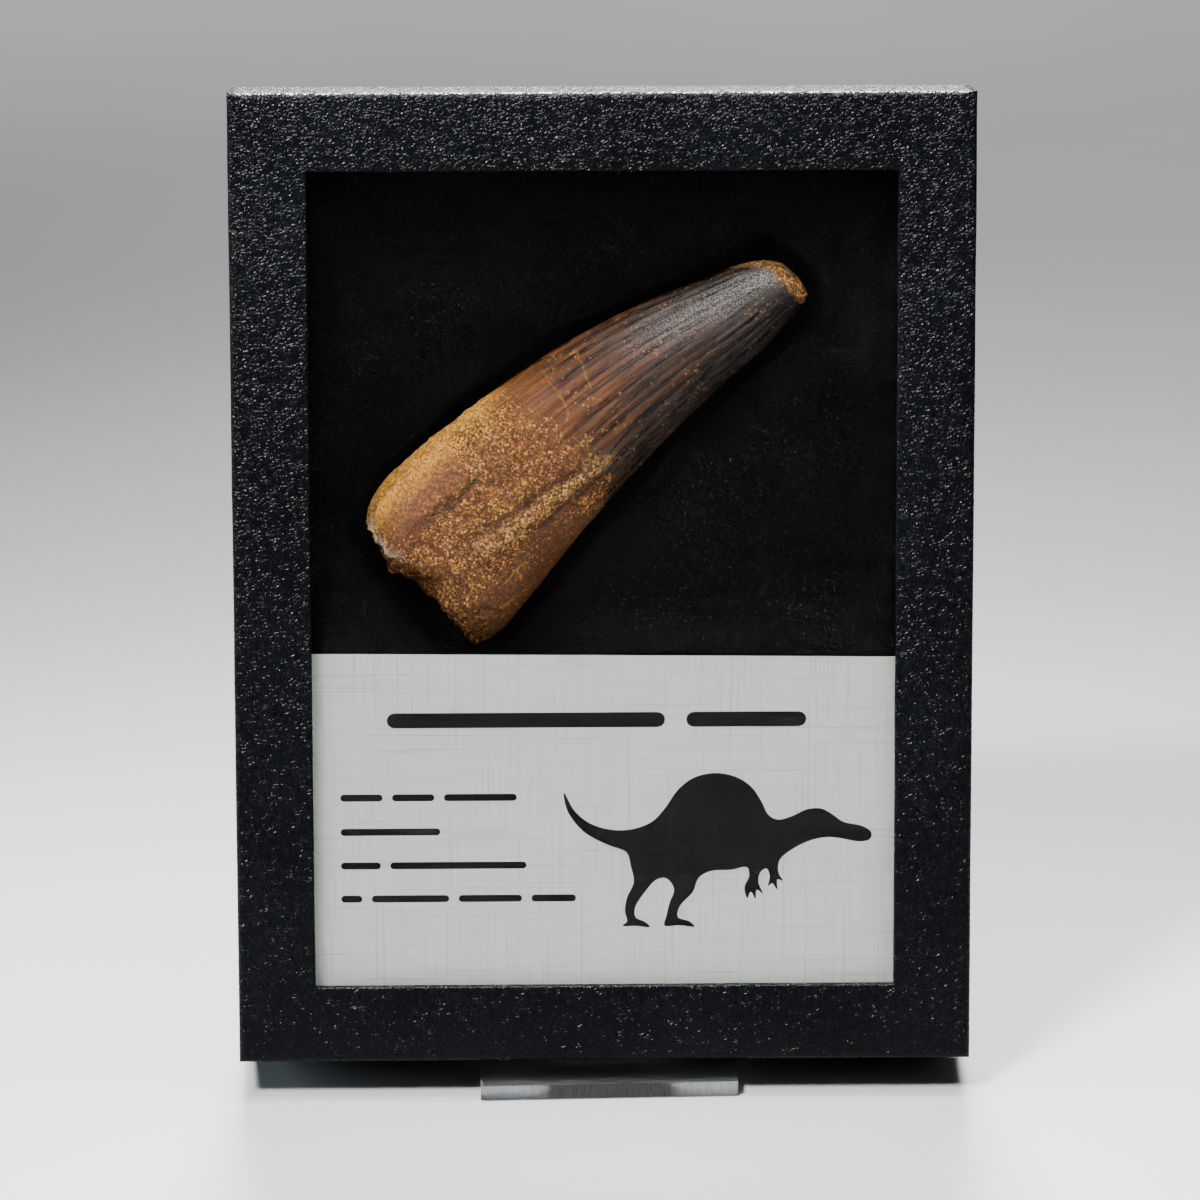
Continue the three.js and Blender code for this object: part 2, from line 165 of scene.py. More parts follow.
def rise(low, high, value):
    share = np.clip((value - low) / (high - low), 0, 1)
    return share * share * (3 - 2 * share)


def band(low, high, soft, value):
    return rise(low - soft, low + soft, value) * (1 - rise(high - soft, high + soft, value))


def mix(a, b, share):
    return a + (b - a) * share


def smooth_through(knots, values, x):
    """A smooth curve through values at the knots."""
    slopes = np.gradient(values, knots)
    i = np.clip(np.searchsorted(knots, x) - 1, 0, len(knots) - 2)
    gap = knots[i + 1] - knots[i]
    t = np.clip((x - knots[i]) / gap, 0, 1)
    start = (1 + 2 * t) * (1 - t) ** 2 * values[i] + t * (1 - t) ** 2 * gap * slopes[i]
    end = t * t * (3 - 2 * t) * values[i + 1] + t * t * (t - 1) * gap * slopes[i + 1]
    return start + end


def random_at(cells, seed):
    """A steady random number from 0 to 1 for each whole-numbered place."""
    x, y, z = (cells[..., k].astype(np.int64) for k in range(3))
    n = (x * 73856093) ^ (y * 19349663) ^ (z * 83492791) ^ (seed * 26544357)
    n = ((n ^ (n >> 13)) * 1274126177) & 0xFFFFFFFF
    n = ((n ^ (n >> 15)) * 668265263) & 0xFFFFFFFF
    return ((n ^ (n >> 16)) & 0xFFFFFF) / float(0xFFFFFF)


def soft_noise(points, size, seed):
    """Smooth noise from -1 to 1 with features of about the size."""
    scaled = np.asarray(points, float) / size
    cell = np.floor(scaled)
    t = scaled - cell
    t = t * t * (3 - 2 * t)
    total = 0
    for corner in np.ndindex(2, 2, 2):
        weight = np.prod(np.where(np.array(corner) == 1, t, 1 - t), axis=-1)
        total = total + weight * random_at(cell + corner, seed)
    return total * 2 - 1


def rough_noise(points, size, seed, layers=3):
    return sum(soft_noise(points, size / 2 ** k, seed + k) / 1.8 ** k for k in range(layers)) / 1.6


def grain_field(points, size, seed):
    """For each point, how near the middle of the nearest grain it is."""
    scaled = np.asarray(points, float) / size
    cell = np.floor(scaled)
    nearest = np.full(len(scaled), np.inf)
    for step in np.ndindex(3, 3, 3):
        there = cell + np.array(step) - 1
        middle = there + np.stack([random_at(there, seed + k) for k in range(3)], -1)
        nearest = np.minimum(nearest, np.sqrt(((scaled - middle) ** 2).sum(-1)))
    return np.clip(1 - nearest / 0.75, 0, 1)


def distance_to_path(x, y, path):
    """How far each point lies from a path of [x, y] points."""
    best = np.full(np.shape(x), np.inf)
    for (x0, y0), (x1, y1) in zip(path[:-1], path[1:]):
        length = (x1 - x0) ** 2 + (y1 - y0) ** 2
        t = np.clip(((x - x0) * (x1 - x0) + (y - y0) * (y1 - y0)) / length, 0, 1)
        best = np.minimum(best, np.hypot(x - x0 - t * (x1 - x0), y - y0 - t * (y1 - y0)))
    return best


# Nodes

def add_node(tree, kind, inputs=None, **settings):
    node = tree.nodes.new(kind)
    for key, value in settings.items():
        setattr(node, key, value)
    for key, value in (inputs or {}).items():
        if isinstance(value, bpy.types.NodeSocket):
            tree.links.new(value, node.inputs[key])
        else:
            node.inputs[key].default_value = value
    return node


def calc(tree, operation, a, b=0.0, c=0.0):
    return add_node(tree, "ShaderNodeMath", {0: a, 1: b, 2: c}, operation=operation).outputs[0]


def times(tree, a, b):
    return calc(tree, "MULTIPLY", a, b)


def times_plus(tree, a, b, c):
    return calc(tree, "MULTIPLY_ADD", a, b, c)


def blend(tree, share, a, b, how="MIX"):
    node = add_node(tree, "ShaderNodeMix", {0: share, 6: a, 7: b}, data_type="RGBA", blend_type=how)
    return node.outputs[2]


def ramp(tree, value, stops):
    node = add_node(tree, "ShaderNodeValToRGB", {0: value})
    elements = node.color_ramp.elements
    while len(elements) < len(stops):
        elements.new(0.5)
    for element, (place, colour) in zip(elements, stops):
        element.position = place
        element.color = (*colour, 1)
    return node.outputs[0]


def limits(tree, value, low, high, to_low=0.0, to_high=1.0):
    inputs = {0: value, 1: low, 2: high, 3: to_low, 4: to_high}
    return add_node(tree, "ShaderNodeMapRange", inputs, interpolation_type="SMOOTHSTEP").outputs[0]


def noise(tree, where, scale, detail=3.0, roughness=0.55):
    inputs = {"Vector": where, "Scale": scale, "Detail": detail, "Roughness": roughness}
    return add_node(tree, "ShaderNodeTexNoise", inputs).outputs[0]


def voronoi(tree, where, scale, feature):
    return add_node(tree, "ShaderNodeTexVoronoi", {"Vector": where, "Scale": scale}, feature=feature).outputs


def bump(tree, height, distance, strength=1.0):
    inputs = {"Height": height, "Distance": distance, "Strength": strength}
    return add_node(tree, "ShaderNodeBump", inputs).outputs[0]


def attribute(tree, name):
    return add_node(tree, "ShaderNodeAttribute", attribute_name=name).outputs["Fac"]


def place_in_mm(tree):
    where = add_node(tree, "ShaderNodeTexCoord").outputs["Object"]
    inputs = {0: where, 3: 1 / MM}
    return add_node(tree, "ShaderNodeVectorMath", inputs, operation="SCALE").outputs[0]


def place_in_case(tree):
    """Right, up the face and out of the face, in millimetres."""
    where = place_in_mm(tree)
    parts = []
    for axis in ((1, 0, 0), (0, SIN, COS), (0, -COS, SIN)):
        dot = add_node(tree, "ShaderNodeVectorMath", {0: where, 1: axis}, operation="DOT_PRODUCT")
        parts.append(dot.outputs["Value"])
    inputs = {0: parts[0], 1: parts[1], 2: parts[2]}
    return add_node(tree, "ShaderNodeCombineXYZ", inputs).outputs[0]


def stretched(tree, where, factors):
    return add_node(tree, "ShaderNodeVectorMath", {0: where, 1: factors}, operation="MULTIPLY").outputs[0]


def new_material(name):
    material = bpy.data.materials.new(name)
    material.use_nodes = True
    return material, material.node_tree, material.node_tree.nodes["Principled BSDF"]


def leatherette():
    material, tree, surface = new_material("black_leatherette_grain")
    surface.inputs["Specular IOR Level"].default_value = 0.065
    where = place_in_case(tree)
    warp = add_node(tree, "ShaderNodeTexNoise", {"Vector": where, "Scale": 0.5, "Detail": 2.0}).outputs[1]
    moved = add_node(tree, "ShaderNodeVectorMath", {0: warp, 1: (1.8, 1.8, 1.8), 2: where},
                     operation="MULTIPLY_ADD").outputs[0]
    crease = voronoi(tree, moved, 1.05, "DISTANCE_TO_EDGE")["Distance"]
    pebble = limits(tree, crease, 0.0, 0.34)
    height_up = add_node(tree, "ShaderNodeSeparateXYZ", {0: where}).outputs[1]
    deeper_above = limits(tree, height_up, 20.0, 190.0, 0.5, 1.05)
    uneven = limits(tree, noise(tree, where, 0.55, 2.0), 0.35, 0.65, 0.25, 1.15)
    uneven = times(tree, uneven, deeper_above)
    fine = noise(tree, where, 3.0, 3.0)
    height = times_plus(tree, fine, 0.16, times(tree, pebble, uneven))
    tree.links.new(bump(tree, height, 0.00022, 1.0), surface.inputs["Normal"])
    broad = noise(tree, where, 0.03, 2.0)
    rubbed = ramp(tree, broad, [(0.3, (0.0008, 0.0010, 0.0015)), (0.7, (0.0016, 0.0019, 0.0028))])
    # Painted shade: the creases between the pebbles are darkened.
    shade = blend(tree, limits(tree, crease, 0.0, 0.1), (0.0005, 0.0006, 0.0009, 1), rubbed)
    tree.links.new(shade, surface.inputs["Base Color"])
    tree.links.new(limits(tree, fine, 0.3, 0.7, 0.22, 0.34), surface.inputs["Roughness"])
    return material


def clear_glass():
    material, _, surface = new_material("clear_glass_pane")
    surface.inputs["Base Color"].default_value = (1, 1, 1, 1)
    surface.inputs["Roughness"].default_value = 0.0
    surface.inputs["IOR"].default_value = 1.45
    surface.inputs["Transmission Weight"].default_value = 1.0
    return material


def clear_acrylic():
    material, tree, surface = new_material("clear_acrylic_sheet")
    surface.inputs["IOR"].default_value = 1.49
    surface.inputs["Transmission Weight"].default_value = 1.0
    where = place_in_mm(tree)
    haze = noise(tree, where, 0.12, 3.0)
    saw = noise(tree, stretched(tree, where, (2.2, 1, 0.4)), 1.0, 4.0, 0.7)
    low_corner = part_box("easel")[0] / MM
    across = add_node(tree, "ShaderNodeVectorMath", {0: where, 1: (-math.tan(LEDGE_SKEW), 1, 0)},
                      operation="DOT_PRODUCT").outputs["Value"]
    front = low_corner.y - math.tan(LEDGE_SKEW) * low_corner.x
    cut = limits(tree, across, front + 0.1, front + 0.4, 1.0, 0.0)
    clear_roughness = limits(tree, haze, 0.3, 0.8, 0.01, 0.06)
    cut_roughness = limits(tree, saw, 0.3, 0.7, 0.3, 0.6)
    roughness = add_node(tree, "ShaderNodeMix", {0: cut, 2: clear_roughness, 3: cut_roughness}).outputs[0]
    tree.links.new(roughness, surface.inputs["Roughness"])
    tint = ramp(tree, haze, [(0.2, (0.93, 0.96, 0.97)), (0.8, (0.97, 0.985, 0.99))])
    # Painted shade: the sawn front edge of the clear sheet is tinted near black.
    sawn_edge_shade = ramp(tree, saw, [(0.35, (0.004, 0.0045, 0.005)), (0.65, (0.022, 0.024, 0.027))])
    tree.links.new(blend(tree, cut, tint, sawn_edge_shade), surface.inputs["Base Color"])
    tree.links.new(bump(tree, times(tree, saw, cut), 0.0002, 0.6), surface.inputs["Normal"])
    return material


def threads_across(tree, where, seed):
    """Fine upright and level threads of linen, and a few darker ones among them."""
    upright = noise(tree, stretched(tree, where, (2.6, 0.03, seed)), 1.0, 1.0)
    level = noise(tree, stretched(tree, where, (0.03, 2.6, seed)), 1.0, 1.0)
    weave = calc(tree, "ADD", upright, level)
    dark = calc(tree, "MAXIMUM", limits(tree, upright, 0.60, 0.72), limits(tree, level, 0.60, 0.72))
    return weave, dark


def linen_card():
    material, tree, surface = new_material("linen_card")
    surface.inputs["Roughness"].default_value = 0.75
    surface.inputs["Specular IOR Level"].default_value = 0.25
    where = place_in_case(tree)
    weave, dark = threads_across(tree, where, 1.0)
    fibre = noise(tree, where, 4.0, 3.0)
    base = ramp(tree, weave, [(0.8, (0.64, 0.70, 0.64)), (1.2, (0.72, 0.78, 0.72))])
    threaded = blend(tree, times(tree, dark, 0.5), base, (0.40, 0.43, 0.38, 1))
    flecked = blend(tree, limits(tree, fibre, 0.3, 0.75, 0.0, 0.2), threaded, (0.74, 0.78, 0.74, 1))
    tree.links.new(flecked, surface.inputs["Base Color"])
    height = times_plus(tree, fibre, 0.2, calc(tree, "SUBTRACT", weave, dark))
    tree.links.new(bump(tree, height, 0.00008, 0.6), surface.inputs["Normal"])
    return material


def card_ink():
    material, tree, surface = new_material("card_ink")
    surface.inputs["Roughness"].default_value = 0.6
    surface.inputs["Specular IOR Level"].default_value = 0.15
    where = place_in_case(tree)
    weave, dark = threads_across(tree, where, 1.0)
    tree.links.new(ramp(tree, weave, [(0.8, (0.0018, 0.0016, 0.0015)), (1.25, (0.006, 0.0055, 0.005))]),
                   surface.inputs["Base Color"])
    tree.links.new(bump(tree, calc(tree, "SUBTRACT", weave, dark), 0.0001, 0.4), surface.inputs["Normal"])
    return material


def black_plush():
    material, tree, surface = new_material("black_plush_cloth")
    where = place_in_case(tree)
    tufts = noise(tree, where, 0.9, 4.0, 0.7)
    tree.links.new(ramp(tree, tufts, [(0.3, (0.0003, 0.0003, 0.0004)), (0.75, (0.0028, 0.0028, 0.0034))]),
                   surface.inputs["Base Color"])
    surface.inputs["Roughness"].default_value = 0.85
    surface.inputs["Specular IOR Level"].default_value = 0.1
    surface.inputs["Sheen Weight"].default_value = 0.025
    surface.inputs["Sheen Roughness"].default_value = 0.45
    tree.links.new(bump(tree, tufts, 0.0006, 0.8), surface.inputs["Normal"])
    return material


def sand_grains(tree, where, scale, seed):
    """Sand grains as raised cells: their height, and a random number for each grain."""
    shift = {0: where, 1: (seed, seed, seed)}
    shifted = add_node(tree, "ShaderNodeVectorMath", shift, operation="ADD").outputs[0]
    cell = voronoi(tree, shifted, scale, "F1")
    raised = limits(tree, cell["Distance"], 0.1, 0.75, 1.0, 0.0)
    number = add_node(tree, "ShaderNodeSeparateColor", {0: cell["Color"]}).outputs[0]
    return raised, number


def tooth_values(tree):
    """What the tooth's mesh says at each point, and the noises that its colours share."""
    names = ("along", "sand", "smooth", "cap", "crack", "stain", "pale", "crevice", "frost",
             "flute", "flute_depth", "turn_cos", "turn_sin")
    values = {name: attribute(tree, name) for name in names}
    where = place_in_case(tree)
    streak_place = add_node(tree, "ShaderNodeCombineXYZ", {
        0: times(tree, values["turn_cos"], STREAKS_AROUND),
        1: times(tree, values["turn_sin"], STREAKS_AROUND),
        2: times(tree, values["along"], STREAKS_ALONG),
    }).outputs[0]
    values["cloud"] = noise(tree, where, 0.11, 4.0, 0.6)
    values["patches"] = noise(tree, where, 0.22, 4.0, 0.65)
    values["fine"] = noise(tree, where, 1.3, 4.0, 0.65)
    values["speck"] = noise(tree, where, 3.2, 3.0, 0.7)
    values["streak"] = noise(tree, streak_place, 1.0, 3.0, 0.6)
    values["grain"], values["grain_number"] = sand_grains(tree, where, 1.95, 0.0)
    values["clod"], _ = sand_grains(tree, where, 0.8, 31.0)
    values["from_groove"] = calc(tree, "PINGPONG", values["flute"], 0.5)
    in_groove = limits(tree, values["from_groove"], 0.05, 0.2, 1.0, 0.0)
    values["groove"] = times(tree, in_groove, values["flute_depth"])
    return SimpleNamespace(**values)


def enamel_colour(tree, tooth):
    """Fluted enamel, from red-brown by the root to near black at the tip, with painted highlight on the
    flute crests and painted shade in the grooves and on the lower side.
    """
    shifted = times_plus(tree, calc(tree, "SUBTRACT", tooth.cloud, 0.5), 0.35, tooth.along)
    dark = ramp(tree, shifted, [
        (0.30, (0.17, 0.052, 0.008)),
        (0.50, (0.066, 0.019, 0.0050)),
        (0.66, (0.028, 0.0100, 0.0045)),
        (0.82, (0.014, 0.0075, 0.0052)),
        (0.95, (0.012, 0.0085, 0.0070)),
    ])
    light = ramp(tree, shifted, [
        (0.3, (0.46, 0.18, 0.028)),
        (0.6, (0.18, 0.060, 0.014)),
        (0.85, (0.070, 0.036, 0.021)),
        (1.0, (0.05, 0.036, 0.029)),
    ])
    streaked = blend(tree, limits(tree, tooth.streak, 0.5, 0.72, 0.0, 0.4), dark, light)
    spotted = blend(tree, limits(tree, tooth.speck, 0.52, 0.70, 0.0, 0.5), streaked, light)
    # Painted highlight: the flute crests are lightened toward the light enamel colour.
    crest_highlight = times(tree, limits(tree, tooth.from_groove, 0.3, 0.46, 0.0, 0.6), tooth.flute_depth)
    crest_lit = blend(tree, crest_highlight, spotted, light)
    # Painted shade: the grooves between the flutes are darkened.
    groove_shaded = blend(tree, times(tree, tooth.groove, 0.95), crest_lit, (0.10, 0.07, 0.06, 1), "MULTIPLY")
    rare_grain = limits(tree, tooth.grain_number, 0.965, 0.985)
    fleck = times(tree, rare_grain, limits(tree, tooth.patches, 0.52, 0.62))
    flecked = blend(tree, times(tree, fleck, 0.75), groove_shaded, (0.46, 0.17, 0.03, 1))
    # Painted shade: the enamel is darkened toward the tooth's lower side.
    below = limits(tree, tooth.turn_cos, -0.75, 0.05, 0.22, 1.0)
    shade = add_node(tree, "ShaderNodeCombineColor", {0: below, 1: below, 2: below}).outputs[0]
    return blend(tree, 1.0, flecked, shade, "MULTIPLY")


def sand_colour(tree, tooth):
    """Sand, grain by grain, golden in some patches and ruddy in others, with painted light on the upper side
    and painted shade in the gaps between grains; also how far each point lies from those shaded gaps.
    """
    golden = ramp(tree, tooth.grain_number, [
        (0.0, (0.21, 0.070, 0.009)),
        (0.4, (0.38, 0.150, 0.018)),
        (0.8, (0.56, 0.265, 0.038)),
        (1.0, (0.86, 0.56, 0.18)),
    ])
    ruddy = ramp(tree, tooth.grain_number, [
        (0.0, (0.18, 0.046, 0.008)),
        (0.6, (0.42, 0.140, 0.020)),
        (1.0, (0.82, 0.40, 0.10)),
    ])
    mixed = blend(tree, limits(tree, tooth.patches, 0.42, 0.62), golden, ruddy)
    # Painted light: the sand's upper side is lightened toward a bright orange.
    above = limits(tree, tooth.turn_cos, 0.5, 0.95, 0.0, 0.75)
    lit = blend(tree, above, mixed, (1.0, 0.50, 0.055, 1))
    # Painted shade: the gaps between grains and clods are darkened to a near-black brown.
    off_grain_shade = limits(tree, tooth.grain, 0.02, 0.5, 0.05, 1.0)
    off_clod_shade = limits(tree, tooth.clod, 0.0, 0.35, 0.3, 1.0)
    off_gap_shade = times(tree, off_grain_shade, off_clod_shade)
    return blend(tree, off_gap_shade, (0.075, 0.022, 0.004, 1), lit), off_gap_shade


def sand_share(tree, tooth):
    """How much sand covers the surface, with a ragged edge."""
    ragged = times_plus(tree, calc(tree, "SUBTRACT", tooth.grain_number, 0.5), 0.9, tooth.sand)
    ragged = times_plus(tree, calc(tree, "SUBTRACT", tooth.patches, 0.5), 1.2, ragged)
    return limits(tree, ragged, 0.35, 0.62)


def bone_colour(tree, tooth, sandy):
    """Smooth worn bone with a few grains on it, with painted light along the upper edge and painted shade on
    the lower side.
    """
    mottle = times_plus(tree, tooth.streak, 0.25, times_plus(tree, tooth.speck, 0.4, tooth.fine))
    plain = ramp(tree, mottle, [
        (0.68, (0.06, 0.014, 0.0025)),
        (0.84, (0.125, 0.035, 0.004)),
        (0.98, (0.30, 0.10, 0.010)),
    ])
    # Painted light: the bone is lightened to bright orange along the tooth's upper edge.
    upper_edge_light = times(tree, limits(tree, tooth.turn_cos, 0.6, 0.98),
                      limits(tree, mottle, 0.72, 0.9, 0.25, 1.0))
    upper_lit = blend(tree, upper_edge_light, plain, (1.0, 0.45, 0.048, 1))
    # Painted shade: the bone is darkened on the tooth's lower side.
    lower_side_shade = times(tree, limits(tree, tooth.turn_cos, -0.6, -0.2, 1.0, 0.0),
                     limits(tree, mottle, 0.72, 0.92, 0.9, 0.2))
    lower_shaded = blend(tree, lower_side_shade, upper_lit, (0.060, 0.022, 0.005, 1))
    grains_on_bone = times(tree, limits(tree, tooth.grain_number, 0.5, 0.8), tooth.grain)
    grains_on_bone = times(tree, grains_on_bone, limits(tree, tooth.patches, 0.4, 0.6, 0.15, 0.8))
    return blend(tree, grains_on_bone, lower_shaded, sandy)


def marked_colour(tree, tooth, worn, off_gap_shade):
    """The worn cap at the tip, then red spots, pale spots with the painted highlight on the sand ridge, a
    painted grey sheen, painted shade in the crevices, and cracks.
    """
    cap_grains = ramp(tree, tooth.grain_number, [
        (0.0, (0.42, 0.14, 0.022)),
        (0.5, (0.70, 0.30, 0.045)),
        (1.0, (0.95, 0.62, 0.20)),
    ])
    # Painted shade: as on the sand, the gaps between grains on the cap are darkened.
    cap_sand = blend(tree, off_gap_shade, (0.10, 0.028, 0.007, 1), cap_grains)
    capped = blend(tree, tooth.cap, worn, cap_sand)
    red_grains = times(tree, limits(tree, tooth.fine, 0.3, 0.5),
                       limits(tree, tooth.grain_number, 0.15, 0.6, 1.0, 0.3))
    stained = blend(tree, times(tree, tooth.stain, red_grains), capped, (0.085, 0.013, 0.009, 1))
    # The pale share holds real pale spots and the painted highlight along the sand ridge.
    pale_grains = times(tree, limits(tree, tooth.fine, 0.3, 0.6, 0.0, 0.8), off_gap_shade)
    paled = blend(tree, times(tree, tooth.pale, pale_grains), stained, (0.74, 0.42, 0.12, 1))
    # Painted sheen: pale grey speckles on the crown by the tip and on the base's broken rim, dimmed in the
    # grooves.
    sheen_speckle = times(tree, tooth.frost, limits(tree, tooth.speck, 0.49, 0.58, 0.1, 1.0))
    off_grooves = calc(tree, "SUBTRACT", 0.9, times(tree, tooth.groove, 0.6))
    sheened = blend(tree, times(tree, sheen_speckle, off_grooves), paled, (0.62, 0.60, 0.59, 1))
    # Painted shade: the crevices are darkened to a deep brown.
    crevice_shade = times(tree, tooth.crevice, limits(tree, tooth.fine, 0.38, 0.6, 0.95, 0.55))
    hollowed = blend(tree, crevice_shade, sheened, (0.050, 0.014, 0.004, 1))
    broken = times(tree, tooth.crack, limits(tree, tooth.fine, 0.38, 0.58, 0.1, 0.6))
    return blend(tree, broken, hollowed, (0.55, 0.24, 0.055, 1))


def tooth_material():
    material, tree, surface = new_material("fossil_tooth_surface")
    tooth = tooth_values(tree)
    on_sand = sand_share(tree, tooth)
    sandy, off_gap_shade = sand_colour(tree, tooth)
    worn = blend(tree, on_sand, enamel_colour(tree, tooth), sandy)
    worn = blend(tree, tooth.smooth, worn, bone_colour(tree, tooth, sandy))
    tree.links.new(marked_colour(tree, tooth, worn, off_gap_shade), surface.inputs["Base Color"])

    not_smooth = calc(tree, "SUBTRACT", 1.0, tooth.smooth)
    matt = calc(tree, "MAXIMUM", times(tree, on_sand, not_smooth), tooth.cap)
    polish = times_plus(tree, tooth.smooth, 0.24, limits(tree, tooth.streak, 0.35, 0.65, 0.22, 0.34))
    tree.links.new(times_plus(tree, matt, 0.45, polish), surface.inputs["Roughness"])

    grains = times_plus(tree, tooth.clod, 0.9, tooth.grain)
    rugged = times(tree, grains, calc(tree, "MAXIMUM", matt, 0.14))
    smooth_height = times_plus(tree, tooth.streak, 0.25, times(tree, tooth.speck, 0.8))
    height = times_plus(tree, rugged, 0.9, smooth_height)
    height = times_plus(tree, tooth.groove, -1.2, height)
    tree.links.new(bump(tree, height, 0.00028), surface.inputs["Normal"])
    return material


# Pieces

def add_piece(name, points, faces, material, smooth=True):
    mesh = bpy.data.meshes.new(name)
    face_list = faces.tolist() if isinstance(faces, np.ndarray) else faces
    mesh.from_pydata(points.tolist(), [], face_list)
    mesh.materials.append(material)
    if smooth:
        mesh.shade_smooth()
    piece = bpy.data.objects.new(name, mesh)
    bpy.context.scene.collection.objects.link(piece)
    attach(piece, "root")
    return piece


def grid_faces(rows, columns, closed=False):
    """Quads of a grid of points; a closed grid's last column joins its first."""
    column_count = columns if closed else columns - 1
    row, column = np.meshgrid(np.arange(rows - 1), np.arange(column_count), indexing="ij")
    after = (column + 1) % columns
    faces = np.stack([row * columns + column, row * columns + after,
                      (row + 1) * columns + after, (row + 1) * columns + column], -1)
    return faces.reshape(-1, 4)


def add_values(piece, **values):
    for name, value in values.items():
        layer = piece.data.attributes.new(name, "FLOAT", "POINT")
        layer.data.foreach_set("value", np.ascontiguousarray(value, np.float32))


# Tooth

def tooth_depth_ratio(along):
    return mix(0.56, 0.92, rise(0, TOOTH_LENGTH, along))


def tooth_level(along):
    return mix(TOOTH_LEVEL_BASE, TOOTH_LEVEL_TIP, rise(TOOTH_LENGTH / 5, TOOTH_LENGTH, along))


def tooth_in_case(along, across, out):
    cos, sin = math.cos(TOOTH_ANGLE), math.sin(TOOTH_ANGLE)
    right = TOOTH_BASE[0] + along * cos - across * sin
    up = TOOTH_BASE[1] + along * sin + across * cos
    return np.stack([right, up, out], -1)


# Marks on the tooth, each point as [along, degrees round it]; a spot has its size too
SMALL_CRACKS = [
    [(50.2, 26), (50, 48), (49.8, 64), (49, 74), (47.8, 80)],
    [(58.5, 26), (57.8, 48), (56, 72)],
    [(54, 72), (55.8, 82)],
    [(14, 134), (20, 130), (21, 138)],
    [(10.2, 144), (14.2, 148)],
]
CREVICES = [
    [(7, 63), (11.2, 66), (15, 68), (19.2, 68), (25, 69)],
    [(17, 94), (21, 97), (27, 102), (34, 106), (43, 113)],
    [(29, 123), (38, 129), (48, 134)],
]
SAND_RIDGE = [(16, 103), (26.5, 111), (38.2, 118), (49, 125)]
RED_SPOTS = [
    (29.2, 50, 1.4), (9.5, 60, 1.2), (15.2, 98, 1.2), (40, 97, 1.5),
    (54.2, 60, 1.4), (22, 47, 0.9), (12, 92, 0.9), (43, 99, 0.9),
]
PALE_SPOTS = [(18.5, 102, 1.3), (27, 58, 1.5), (33, 52, 1.2), (20, 98, 0.8)]
BASE_PIT = (6.5, 135, 1.2)

# Edges round the tooth, as [degrees, along]: of the worn cap, of the sandy root and of the broken base
CAP_EDGE = [
    (0, 95), (12, 96.2), (32, 99), (52, 100.5), (73, 100.8), (96, 101),
    (110, 100.8), (149, 101.5), (180, 101), (270, 99), (360, 95),
]
ROOT_EDGE = [
    (0, 36), (27, 38), (61, 42), (87, 45), (108, 48), (134, 47),
    (170, 43), (200, 40), (300, 36), (360, 36),
]
BASE_EDGE = [
    (0, 1.1), (12, 1.0), (30, 0.3), (42, -0.3), (54, 0.2), (69, 1.8), (80, 3), (91, 4.6),
    (100, 3.4), (108, 1.6), (114, 1), (126, 1.6), (160, 1.2), (180, 1), (200, 0.2), (234, -0.3),
    (257, -0.6), (272, -1.6), (285, -2.9), (294, -3.2), (304, -2.4), (330, 0.2), (360, 1.1),
]
BASE_MIDDLE = 3.2


def edge_at(edge, degrees):
    places, values = np.array(edge).T
    return np.interp(degrees, places, values)


def tooth_middle(along):
    return smooth_through(TOOTH_STATIONS[:, 0], TOOTH_STATIONS[:, 1], along)


def tooth_half_width(along):
    return smooth_through(TOOTH_STATIONS[:, 0], TOOTH_STATIONS[:, 2], along)


def mean_radius(along):
    """A radius between the tooth's half width and its half depth."""
    return np.interp(along, TOOTH_STATIONS[:, 0], TOOTH_STATIONS[:, 2]) * RADIUS_SHARE


def path_over_tooth(path):
    """A path's degrees turned into millimetres round the tooth."""
    return [(along, math.radians(degrees) * mean_radius(along)) for along, degrees in path]


def spots_at(along, arc, radius, spots):
    """Soft round spots, each at [along, degrees, size]."""
    total = np.zeros_like(along)
    for place, degrees, size in spots:
        distance = np.hypot(along - place, arc - math.radians(degrees) * radius)
        total = np.maximum(total, np.exp(-((distance / size) ** 2)))
    return total


